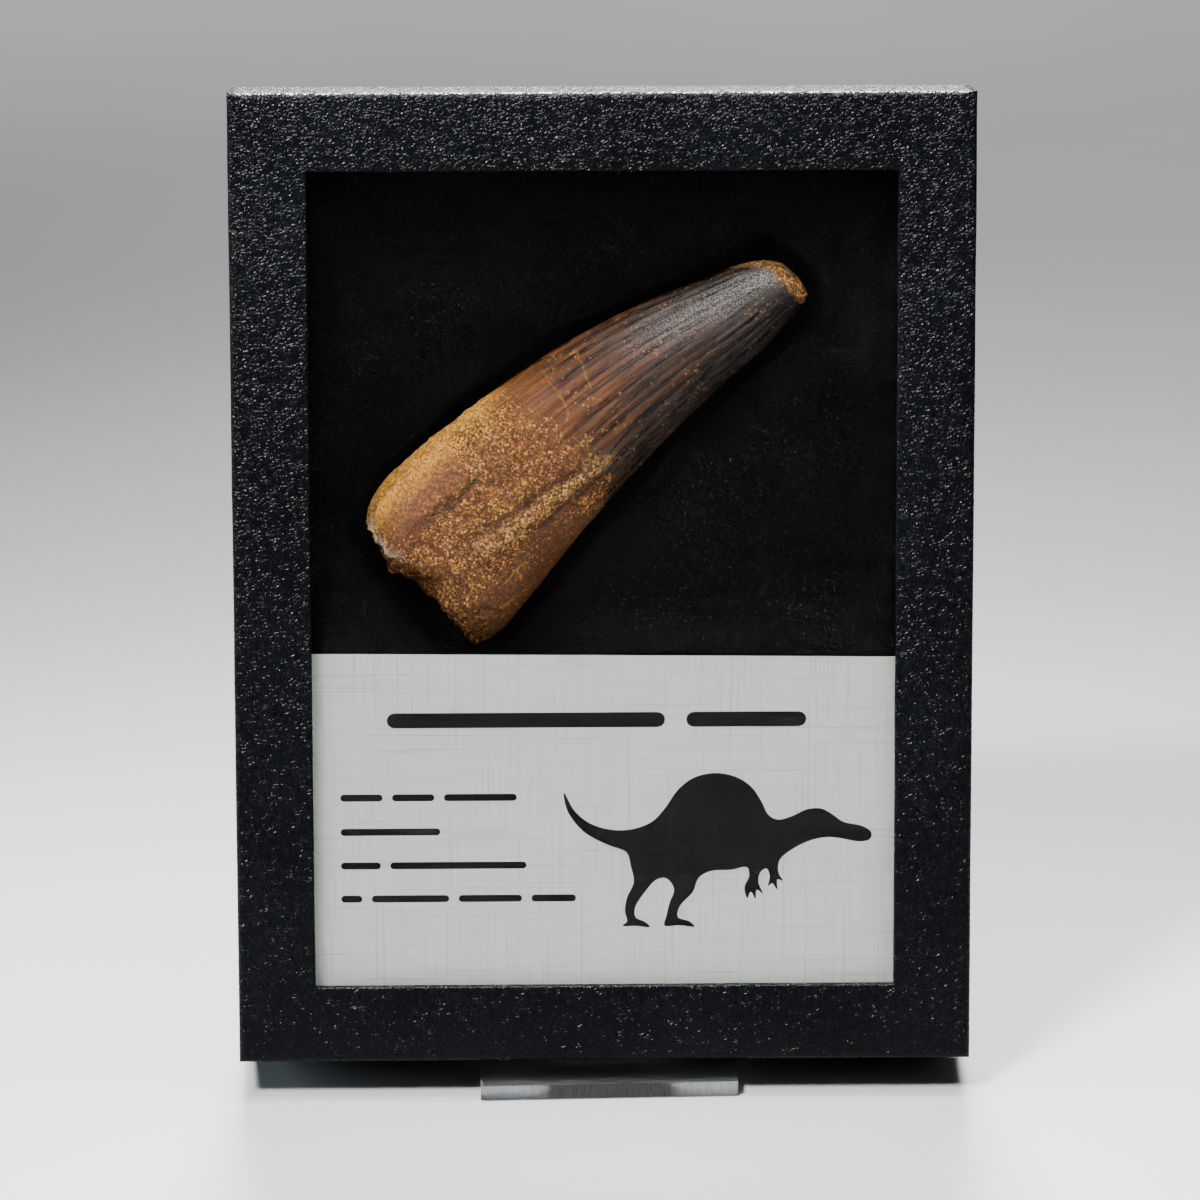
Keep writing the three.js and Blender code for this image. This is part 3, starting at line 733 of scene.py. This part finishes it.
def tooth_marks(along, degrees, where):
    """How sandy, smooth, worn, cracked, stained, pale and creviced the tooth is at each point; the pale
    share also holds a painted highlight along the sand ridge.
    """
    drift = rough_noise(where, 7, 3)
    small_drift = soft_noise(where, 2.2, 67)
    ledge_drift = 5 * soft_noise(where, 5, 61)
    root = 1 - rise(-7, 7, along - edge_at(ROOT_EDGE, degrees) + 6 * drift + 2 * small_drift)
    top_side = (1 - rise(58, 72, degrees + ledge_drift)) + rise(350, 358, degrees)
    patch = band(27, 66, 2.5, degrees + ledge_drift) * band(2.2, 25, 2, along + 3 * drift)
    upper = 0.35 * (1 - rise(20, 42, degrees + 10 * drift)) * band(2, 50, 4, along)
    behind = rise(335, 350, degrees) * band(2, 50, 4, along)
    strip = band(123, 190, 3, degrees + 5 * drift) * band(5, 37, 3, along + 3 * drift)
    smooth = np.maximum.reduce([patch * top_side, upper, behind, strip]) * np.clip(root * 1.4, 0, 1)
    cap = rise(-0.7, 0.7, along - edge_at(CAP_EDGE, degrees) + 0.9 * soft_noise(where, 1.2, 8))
    radius = tooth_half_width(np.clip(along, 0, TOOTH_LENGTH)) * RADIUS_SHARE
    arc = np.radians(degrees) * radius
    crack = np.zeros_like(along)
    wobble = 0.4 * soft_noise(where, 1.5, 33)
    for path in SMALL_CRACKS:
        local = mean_radius(np.mean([place for place, _ in path]))
        line = [(place, math.radians(turn) * local) for place, turn in path]
        crack = np.maximum(crack, 1 - rise(0.05, 0.32, distance_to_path(along + wobble, arc, line)))
    from_ridge = distance_to_path(along, arc + 0.8 * small_drift, path_over_tooth(SAND_RIDGE))
    # Painted highlight: the sand ridge is paled along its crest, where it catches the light.
    ridge_highlight = np.exp(-((from_ridge / 1.5) ** 2))
    crevice = np.zeros_like(along)
    for path in CREVICES:
        distance = distance_to_path(along, arc + 0.5 * small_drift, path_over_tooth(path))
        crevice = np.maximum(crevice, 1 - rise(0.2, 1.3, distance))
    return {
        "sand": root,
        "smooth": smooth,
        "cap": cap,
        "crack": crack,
        "stain": spots_at(along, arc, radius, RED_SPOTS),
        "pale": np.maximum(spots_at(along, arc, radius, PALE_SPOTS), 0.95 * ridge_highlight),
        "crevice": crevice,
    }


def flute_turns(angle, along, where):
    """Which flute each point is on, as a number that runs on round the tooth."""
    warped = angle + 0.05 * np.sin(3 * angle + 1) + 0.03 * np.sin(11 * angle) + 0.02 * np.sin(23 * angle + 2)
    warped = warped + 0.012 * np.sin(along * 0.11) + 0.012 * soft_noise(where, 9, 5)
    return FLUTES * warped / math.tau


def flute_relief(angle, along, turns):
    """The height of the flutes and of the fine lines on them, and how deep the grooves are."""
    strength = rise(40, 58, along) * (1 - rise(92, 99, along))
    number = np.floor(turns)
    depth = 0.35 + 0.65 * random_at(np.stack([number, 0 * number, 0 * number], -1), 47)
    flute = (0.5 - 0.5 * np.cos(math.tau * turns)) ** 1.5
    striation = soft_noise(np.stack([angle * 38, along / 9, 0 * along], -1), 1, 31)
    return strength * (FLUTE_HEIGHT * flute * depth + STRIATION_HEIGHT * striation), strength * depth


def root_relief(along, degrees, where, marks):
    """Sand grains, clods, the edge of the smooth patch, and the ridge and the trough along the root."""
    rough = marks["sand"] * (1 - marks["smooth"])
    grain = grain_field(where, GRAIN_SIZE, 11)
    clod = grain_field(where, CLOD_SIZE, 17)
    relief = rough * (GRAIN_HEIGHT * grain + CLOD_HEIGHT * clod + WORN_HEIGHT * rough_noise(where, 5, 23))
    relief += (1 - rough) * 0.05 * rough_noise(where, 2.5, 29)
    relief += PATCH_HEIGHT * marks["smooth"] * band(-20, 90, 5, degrees) * (1 - rise(25, 40, along))
    from_ridge = degrees - 105 - 0.63 * (along - 18)
    relief += RIDGE_HEIGHT * np.exp(-((from_ridge / 7) ** 2)) * band(14, 50, 5, along)
    from_trough = degrees - 84 + 0.1 * (along - 18)
    relief -= TROUGH_DEPTH * np.exp(-((from_trough / 9) ** 2)) * band(8, 44, 5, along)
    relief += marks["cap"] * (0.2 + 0.22 * grain)
    return relief


def tooth_relief(along, degrees, where, marks):
    """How far each point stands out from the plain tooth, its flute, and how deep the grooves are there."""
    angle = np.radians(degrees)
    turns = flute_turns(angle, along, where)
    relief, groove_depth = flute_relief(angle, along, turns)
    relief = relief + root_relief(along, degrees, where, marks)
    relief -= CRACK_DEPTH * marks["crack"]
    relief -= CREVICE_DEPTH * marks["crevice"]
    radius = mean_radius(along)
    relief -= PIT_DEPTH * spots_at(along, angle * radius, radius, [BASE_PIT])
    relief -= CHIP_DEPTH * (1 - rise(-1, 6.5, along)) * band(92, 175, 7, degrees)
    behind = angle > 1.5 * math.pi
    return relief, np.where(behind, turns - FLUTES, turns), groove_depth


def painted_sheen_amount(along, degrees):
    """How much painted grey sheen shows: on the polished crown by the tip, and on the base's broken rim."""
    across = np.exp(-(((degrees - mix(54, 60, rise(50, 95, along))) / 23) ** 2))
    crown = across * rise(56, 96, along) * (1 - rise(99, 102, along))
    rim_width = mix(5, 1.8, rise(10, 40, degrees))
    rim = (1 - rise(0.2, 1, along / rim_width)) * band(1, 66, 6, degrees)
    return np.maximum(crown, 0.8 * rim)


def build_tooth():
    fine = np.linspace(0, TOOTH_LENGTH, RUN_STEPS)
    run = np.concatenate([[0], np.cumsum(np.hypot(np.diff(fine), np.diff(tooth_half_width(fine))))])
    rings = np.interp(np.linspace(0, run[-1], TOOTH_RINGS), run, fine)
    turn = np.arange(TOOTH_AROUND) / TOOTH_AROUND * math.tau
    angle = (turn + FRONT_DENSITY * np.cos(turn)) % math.tau

    inward = np.linspace(0, 1, TOOTH_BASE_RINGS + 1)[:-1]
    along = np.concatenate([np.zeros(TOOTH_BASE_RINGS), rings])
    share = np.concatenate([inward, np.ones(TOOTH_RINGS)])
    A, T = np.meshgrid(along, angle, indexing="ij")
    S = np.meshgrid(share, angle, indexing="ij")[0]
    middle = tooth_middle(A)
    half = np.maximum(tooth_half_width(A), 0)
    ratio = tooth_depth_ratio(A)
    level = tooth_level(A)

    def surface(relief):
        chips = 0.3 * np.sin(11 * T) + 0.35 * np.cos(23 * T + np.sin(5 * T))
        set_back = (1 - rise(0, BASE_SLOPE, A)) * (edge_at(BASE_EDGE, np.degrees(T) % 360) + chips)
        groove = 2.4 * np.exp(-(((S - 0.84) / 0.09) ** 2)) * rise(0.1, 0.6, np.sin(T))
        set_back = np.where(S < 1, mix(BASE_MIDDLE, set_back, rise(0.2, 0.92, S)) + groove, set_back)
        across = middle + (half * S + relief) * np.cos(T)
        out = level + (half * ratio * S + relief) * np.sin(T)
        return tooth_in_case(A + set_back, across, out).reshape(-1, 3)

    plain = surface(0.0)
    degrees = (np.degrees(T) % 360).ravel()
    marks = tooth_marks(A.ravel(), degrees, plain)
    inside = S.ravel() < 1
    marks["sand"] = np.where(inside, 1, marks["sand"])
    marks["smooth"] = np.where(inside, 0, marks["smooth"])
    relief, flute, flute_depth = tooth_relief(A.ravel(), degrees, plain, marks)
    close = np.minimum(1, half.ravel() / ROUND_TIP)
    points = surface((relief * close).reshape(A.shape))
    rough = rough_noise(plain, 1.8, 41) * BASE_ROUGHNESS
    direction = np.array([-math.cos(TOOTH_ANGLE), -math.sin(TOOTH_ANGLE), 0])
    points = points + np.where(inside, rough, 0)[:, None] * direction

    faces = grid_faces(len(along), TOOTH_AROUND, closed=True)[:, ::-1]
    piece = add_piece("fossil_tooth", in_case(points), faces, tooth_material())
    add_values(piece, along=A.ravel() / TOOTH_LENGTH, **marks, flute=flute, flute_depth=flute_depth,
               frost=painted_sheen_amount(A.ravel(), degrees), turn_cos=np.cos(T).ravel(),
               turn_sin=np.sin(T).ravel())
    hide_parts("tooth")


# Lining

def lining_level(right, up):
    """The lining's height: pressed flat under the card, puffed by the walls, hollowed round the tooth."""
    from_wall = np.minimum(CASE_WIDTH / 2 - np.abs(right), CASE_HEIGHT - up)
    waves = 0.9 * np.sin(right * 0.09 + up * 0.05) + 0.7 * np.sin(right * 0.05 - up * 0.11 + 1)
    beside = right - SWELL_AT[0]
    above = up - SWELL_AT[1] - SWELL_SLOPE * beside
    swell = SWELL_HEIGHT * np.exp(-((beside / SWELL_WIDTH) ** 2) - (above / SWELL_LENGTH) ** 2)
    open_level = PAD_OPEN_LEVEL + PAD_PUFF * (1 - rise(6, 28, from_wall)) + waves + swell
    level = mix(open_level, PAD_UNDER_CARD, 1 - rise(CARD_TOP, CARD_TOP + 12, up))
    cos, sin = math.cos(TOOTH_ANGLE), math.sin(TOOTH_ANGLE)
    along = (right - TOOTH_BASE[0]) * cos + (up - TOOTH_BASE[1]) * sin
    across = -(right - TOOTH_BASE[0]) * sin + (up - TOOTH_BASE[1]) * cos
    inside = np.clip(along, 0, HOLLOW_FAR)
    middle = np.interp(inside, TOOTH_STATIONS[:, 0], TOOTH_STATIONS[:, 1])
    half = np.maximum(HOLLOW_LEAST, np.interp(inside, TOOTH_STATIONS[:, 0], TOOTH_STATIONS[:, 2]))
    beyond = np.maximum(0, np.maximum(-HOLLOW_BEFORE_BASE - along, along - TOOTH_LENGTH)) / HOLLOW_END
    reach = np.hypot((across - middle) / (half + HOLLOW_MARGIN), beyond)
    rim = tooth_level(along) - HOLLOW_GAP
    depth = half * tooth_depth_ratio(along) + HOLLOW_GAP
    hollow = rim - depth * np.sqrt(np.clip(1 - reach ** 2, 0, 1))
    bank = np.minimum(level, mix(rim, level, rise(1, HOLLOW_BRIM, reach)))
    return np.where(reach < 1, hollow, bank)


def build_lining():
    right = np.linspace(-CASE_WIDTH / 2 + PAD_INSET, CASE_WIDTH / 2 - PAD_INSET,
                        int((CASE_WIDTH - 2 * PAD_INSET) / PAD_STEP))
    up = np.linspace(PAD_INSET, CASE_HEIGHT - PAD_INSET, int((CASE_HEIGHT - 2 * PAD_INSET) / PAD_STEP))
    U, R = np.meshgrid(up, right, indexing="ij")
    W = lining_level(R, U)
    flat = np.stack([R, U, np.zeros_like(R)], -1).reshape(-1, 3)
    W = W + (LINING_ROUGHNESS * rough_noise(flat, 6, 71)).reshape(W.shape)
    top = np.stack([R, U, W], -1).reshape(-1, 3)
    rows, columns = R.shape
    faces = grid_faces(rows, columns).tolist()
    rim = (list(range(columns)) + [r * columns + columns - 1 for r in range(1, rows)]
           + [(rows - 1) * columns + c for c in range(columns - 2, -1, -1)]
           + [r * columns for r in range(rows - 2, 0, -1)])
    foot = top[rim].copy()
    foot[:, 2] = PAD_BOTTOM
    first = len(top)
    count = len(rim)
    for i in range(count):
        j = (i + 1) % count
        faces.append([rim[i], first + i, first + j, rim[j]])
    faces.append(list(range(first + count - 1, first - 1, -1)))
    piece = add_piece("plush_lining", in_case(np.vstack([top, foot])), faces, black_plush())
    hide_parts("lining_pad")


def build_pile():
    """Short fibres of the plush, seen through the window above the card."""
    source = np.random.default_rng(5)
    right = source.uniform(-PILE_REACH, PILE_REACH, PILE_FIBRES)
    up = source.uniform(CARD_TOP - 4, CASE_HEIGHT - 12, PILE_FIBRES)
    base = np.stack([right, up, lining_level(right, up) - 0.1], -1)
    lean = source.normal([0.5, -0.6, 0], [0.45, 0.45, 0.1], (PILE_FIBRES, 3))
    tip = base + lean * PILE_LEAN
    tip[:, 2] = base[:, 2] + source.uniform(0.5, 1.0, PILE_FIBRES)
    turn = source.uniform(0, math.tau, PILE_FIBRES)
    side = np.stack([np.cos(turn), np.sin(turn), np.zeros(PILE_FIBRES)], -1) * PILE_THICKNESS
    points = np.stack([base - side, base + side, tip], 1).reshape(-1, 3)
    faces = np.arange(PILE_FIBRES * 3).reshape(-1, 3)
    add_piece("plush_pile", in_case(points), faces, black_plush(), smooth=False)


# Case

def rounded_profile(corners, step_count):
    """A closed profile through corners of [inset, level, radius]."""
    points = []
    count = len(corners)
    for i, (x, y, radius) in enumerate(corners):
        before = np.array(corners[i - 1][:2], float)
        here = np.array([x, y], float)
        after = np.array(corners[(i + 1) % count][:2], float)
        a = (before - here) / np.linalg.norm(before - here)
        b = (after - here) / np.linalg.norm(after - here)
        for k in range(step_count + 1):
            t = k / step_count
            start, end = here + a * radius, here + b * radius
            points.append((1 - t) ** 2 * start + 2 * t * (1 - t) * here + t * t * end)
    return np.array(points)


def frame_round(profile):
    """The points of a closed profile carried round the case, with mitred corners."""
    corners = np.array([[-1, -1], [1, -1], [1, 1], [-1, 1]], float)
    shares = np.arange(LID_STEPS)[:, None] / LID_STEPS
    rings = np.vstack([mix(corners[side], corners[(side + 1) % 4], shares) for side in range(4)])
    inset = profile[:, 0]
    right = rings[:, 0][:, None] * (CASE_WIDTH / 2 - inset)
    up = CASE_HEIGHT / 2 + rings[:, 1][:, None] * (CASE_HEIGHT / 2 - inset)
    top_corner = (np.abs(rings[:, 0]) == 1) & (rings[:, 1] == 1)
    near_edge = inset < LID_ROUNDING
    outwards = CORNER_OUT * np.sign(rings[top_corner, 0])
    right[np.ix_(top_corner, near_edge)] += outwards[:, None] * inset[near_edge]
    up[np.ix_(top_corner, near_edge)] += CORNER_UP * inset[near_edge]
    level = np.broadcast_to(profile[:, 1], right.shape)
    return np.stack([right, up, level], -1).reshape(-1, 3)


def made_uneven(points):
    """Hand-wrapped board isn't quite flat."""
    points = points.copy()
    points[:, 2] += LID_WOBBLE * soft_noise(points, 25, 3) * rise(-3, -1, points[:, 2])
    inwards = LID_WOBBLE * soft_noise(points + 50, 18, 9)
    points[:, 0] -= np.sign(points[:, 0]) * np.abs(inwards)
    return points


def build_lid(material):
    border = (CASE_WIDTH - WINDOW_WIDTH) / 2
    corners = [
        [0, -LID_DEPTH, 0.5],
        [0, 0, LID_ROUNDING],
        [border, 0, WINDOW_ROUNDING],
        [border, -LID_BOARD, 0.3],
        [WALL, -LID_BOARD, 0.3],
        [WALL, -LID_DEPTH, 0.5],
    ]
    profile = rounded_profile(corners, 6)
    points = made_uneven(frame_round(profile))
    count = len(profile)
    faces = grid_faces(4 * LID_STEPS, count, closed=True)
    here = np.arange(count)
    after = (here + 1) % count
    last_ring = (4 * LID_STEPS - 1) * count
    closing = np.stack([last_ring + here, last_ring + after, after, here], -1)
    piece = add_piece("leatherette_lid", in_case(points), np.vstack([faces, closing])[:, ::-1],
                      material)
    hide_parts("case_lid")


def softened_copy(node, name, material, width):
    """The CAD part's own form with its sharp edges rounded a little."""
    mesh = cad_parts[node].data.copy()
    mesh.materials.clear()
    mesh.materials.append(material)
    piece = bpy.data.objects.new(name, mesh)
    bpy.context.scene.collection.objects.link(piece)
    weld = piece.modifiers.new("weld", "WELD")
    weld.merge_threshold = 1e-6
    bevel = piece.modifiers.new("bevel", "BEVEL")
    bevel.width = width * MM
    bevel.segments = 2
    bevel.limit_method = "ANGLE"
    bevel.angle_limit = math.radians(35)
    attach(piece, "root")
    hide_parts(node)


# Card print

def prism(outline, front, back, first):
    """A flat shape with a hair's thickness, as points and faces."""
    count = len(outline)
    points = [(x, y, front) for x, y in outline] + [(x, y, back) for x, y in outline]
    faces = [list(range(first, first + count)), list(range(first + 2 * count - 1, first + count - 1, -1))]
    for i in range(count):
        j = (i + 1) % count
        faces.append([first + i, first + count + i, first + count + j, first + j])
    return points, faces


def rounded_bar(left, right, middle, height):
    radius = height / 2
    outline = []
    for centre, turn in ((right - radius, -math.pi / 2), (left + radius, math.pi / 2)):
        for k in range(BAR_END_STEPS + 1):
            angle = turn + math.pi * k / BAR_END_STEPS
            outline.append((centre + radius * math.cos(angle), middle + radius * math.sin(angle)))
    return outline


SAIL_BACK = [
    (65.4, 20.4), (63.4, 21.8), (59.6, 22.6), (57.0, 24.4), (54.6, 25.6), (51.6, 25.4), (48.6, 24.0),
    (45.6, 23.2), (43.4, 24.4), (42.0, 27.2), (39.8, 30.4), (36.4, 32.6), (32.0, 33.4), (27.6, 32.4),
    (24.2, 29.8), (21.6, 26.0), (18.8, 23.0), (14.8, 21.4), (10.2, 21.2), (5.6, 22.6), (2.2, 25.4),
    (0.0, 29.4), (0.8, 25.2), (4.2, 20.8), (9.2, 18.0), (13.2, 16.4), (14.2, 13.2), (14.8, 9.8),
    (13.4, 6.6), (12.9, 3.6), (13.4, 1.4), (12.4, 0.3), (15.4, 0.3), (18.2, 0.0), (17.2, 1.2),
    (15.2, 2.2), (15.2, 4.6), (17.0, 7.4), (19.4, 10.2), (21.8, 10.6), (23.4, 8.2), (22.4, 5.2),
    (21.8, 2.6), (21.4, 0.3), (24.6, 0.4), (27.8, 0.0), (26.6, 1.3), (24.2, 2.2), (24.8, 4.8),
    (27.4, 7.6), (28.6, 10.6), (31.4, 12.2), (35.6, 12.4), (38.8, 13.0), (39.4, 11.0), (38.4, 8.6),
    (39.0, 6.2), (39.8, 7.6), (40.8, 6.0), (41.0, 8.0), (42.4, 7.2), (41.4, 9.6), (41.8, 11.8),
    (43.2, 12.6), (43.8, 10.8), (43.4, 8.8), (44.4, 9.4), (45.4, 8.0), (45.4, 10.2), (46.6, 10.0),
    (45.6, 12.0), (46.0, 14.6), (48.6, 16.8), (52.2, 18.6), (56.0, 19.4), (59.4, 19.0), (62.6, 18.4),
    (65.0, 18.8),
]
SAIL_BACK_AT = (-8.5, 28.2)
BAR_END_STEPS = 6
WORD_ROWS = [
    (73.2, 3.2, [(-46, 13), (17.5, 43)]),
    (56.6, 1.5, [(-56, -47), (-45, -36), (-34, -18.5)]),
    (49.2, 1.5, [(-56, -34.8)]),
    (41.9, 1.5, [(-56, -47.5), (-45.5, -16.5)]),
    (34.7, 1.5, [(-56, -51.5), (-49.5, -33), (-31, -17.5), (-15.5, -6)]),
]


def smooth_outline(corners, steps=4):
    """A closed outline that runs smoothly through its corners."""
    corners = np.array(corners, float)
    before, after, beyond = (np.roll(corners, shift, 0) for shift in (1, -1, -2))
    points = []
    for k in range(steps):
        t = k / steps
        points.append(0.5 * (2 * corners + (after - before) * t
                             + (2 * before - 5 * corners + 4 * after - beyond) * t ** 2
                             + (3 * corners - before - 3 * after + beyond) * t ** 3))
    return np.stack(points, 1).reshape(-1, 2)


def build_print():
    points, faces = [], []

    def add(outline):
        more, shapes = prism(outline, PRINT_FRONT, PRINT_BACK, len(points))
        points.extend(more)
        faces.extend(shapes)

    for middle, height, words in WORD_ROWS:
        for left, right in words:
            add(rounded_bar(left, right, middle, height))
    outline = smooth_outline(SAIL_BACK)[::-1] + np.array(SAIL_BACK_AT)
    add([tuple(corner) for corner in outline.tolist()])
    add_piece("card_print", in_case(points), faces, card_ink(), smooth=False)


# Camera, floor and light

CAMERA_PLACE = (-0.01928, -1.02607, 0.46559)
CAMERA_PITCH = math.radians(19.782)
CAMERA_YAW = math.radians(1.059)
CAMERA_ROLL = math.radians(0.061)
WORLD_STRENGTH = 0.03
SENSOR_WIDTH = 36
PHOTO_WIDTH = 1200
FOCAL_LENGTH_IN_PIXELS = 5050
FLOOR_REACH = 3.0
FLOOR_GAP = 0.0003


def build_camera():
    data = bpy.data.cameras.new("camera")
    camera = bpy.data.objects.new("camera", data)
    bpy.context.scene.collection.objects.link(camera)
    data.sensor_width = SENSOR_WIDTH
    data.lens = SENSOR_WIDTH * FOCAL_LENGTH_IN_PIXELS / PHOTO_WIDTH
    data.clip_start = 0.05
    data.clip_end = 50
    across = math.cos(CAMERA_PITCH)
    forward = Vector((math.sin(CAMERA_YAW) * across, math.cos(CAMERA_YAW) * across, -math.sin(CAMERA_PITCH)))
    level = Vector((math.cos(CAMERA_YAW), -math.sin(CAMERA_YAW), 0))
    upward = level.cross(forward)
    right = math.cos(CAMERA_ROLL) * level + math.sin(CAMERA_ROLL) * upward
    up = -math.sin(CAMERA_ROLL) * level + math.cos(CAMERA_ROLL) * upward
    turn = Matrix((right, up, -forward)).transposed()
    camera.matrix_world = Matrix.Translation(CAMERA_PLACE) @ turn.to_4x4()
    bpy.context.scene.camera = camera


def build_floor():
    mesh = bpy.data.meshes.new("floor")
    signs = [(-1, -1), (1, -1), (1, 1), (-1, 1)]
    corners = [(x * FLOOR_REACH, y * FLOOR_REACH, -FLOOR_GAP) for x, y in signs]
    mesh.from_pydata(corners, [], [(0, 1, 2, 3)])
    material, tree, surface = new_material("pale_floor")
    surface.inputs["Roughness"].default_value = 0.7
    where = add_node(tree, "ShaderNodeTexCoord").outputs["Object"]
    shade = ramp(tree, noise(tree, where, 3.0), [(0.3, (0.17, 0.17, 0.17)), (0.7, (0.19, 0.19, 0.19))])
    tree.links.new(shade, surface.inputs["Base Color"])
    mesh.materials.append(material)
    floor = bpy.data.objects.new("floor", mesh)
    bpy.context.scene.collection.objects.link(floor)


def add_light(name, place, aim, size, power, spread, colour=(1, 1, 1)):
    data = bpy.data.lights.new(name, "AREA")
    data.shape = "RECTANGLE"
    data.size, data.size_y = size
    data.energy = power
    data.spread = math.radians(spread)
    data.color = colour
    light = bpy.data.objects.new(name, data)
    bpy.context.scene.collection.objects.link(light)
    light.location = place
    light.rotation_euler = (Vector(aim) - Vector(place)).to_track_quat("-Z", "Y").to_euler()


def build_lights():
    add_light("key", (-0.5, -0.6, 1.15), (0, 0, 0.12), (0.25, 0.25), 6.8, 40, (1.0, 0.98, 0.95))
    add_light("top", (0, 0.0, 0.8), (0, -0.03, 0.15), (0.6, 0.4), 5.5, 70)
    add_light("rim", (0, 0.75, 0.75), (0, 0.0, 0.23), (0.8, 0.4), 9, 26, (0.94, 0.97, 1.0))
    add_light("fill", (0.9, -1.0, 0.9), (0, 0, 0.1), (0.8, 0.8), 1, 90, (0.93, 0.96, 1.0))
    add_light("side", (-1.1, 0.0, 0.4), (0, 0, 0.12), (0.1, 0.5), 1.5, 60, (0.7, 0.88, 1.0))
    add_light("backdrop", (0, 1.3, 1.3), (0, 1.3, 0), (1.6, 0.6), 26, 110)
    world = bpy.data.worlds.new("studio")
    world.use_nodes = True
    world.node_tree.nodes["Background"].inputs[0].default_value = (0.5, 0.5, 0.5, 1)
    world.node_tree.nodes["Background"].inputs[1].default_value = WORLD_STRENGTH
    bpy.context.scene.world = world


build_camera()
build_floor()
build_lights()
grain = leatherette()
build_lid(grain)
softened_copy("case_tray", "paper_tray", grain, 0.5)
softened_copy("easel", "acrylic_easel", clear_acrylic(), 0.25)
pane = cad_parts["window_pane"]
pane.data.materials.clear()
pane.data.materials.append(clear_glass())
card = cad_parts["label_card"]
card.data.materials.clear()
card.data.materials.append(linen_card())
build_print()
build_lining()
build_pile()
build_tooth()
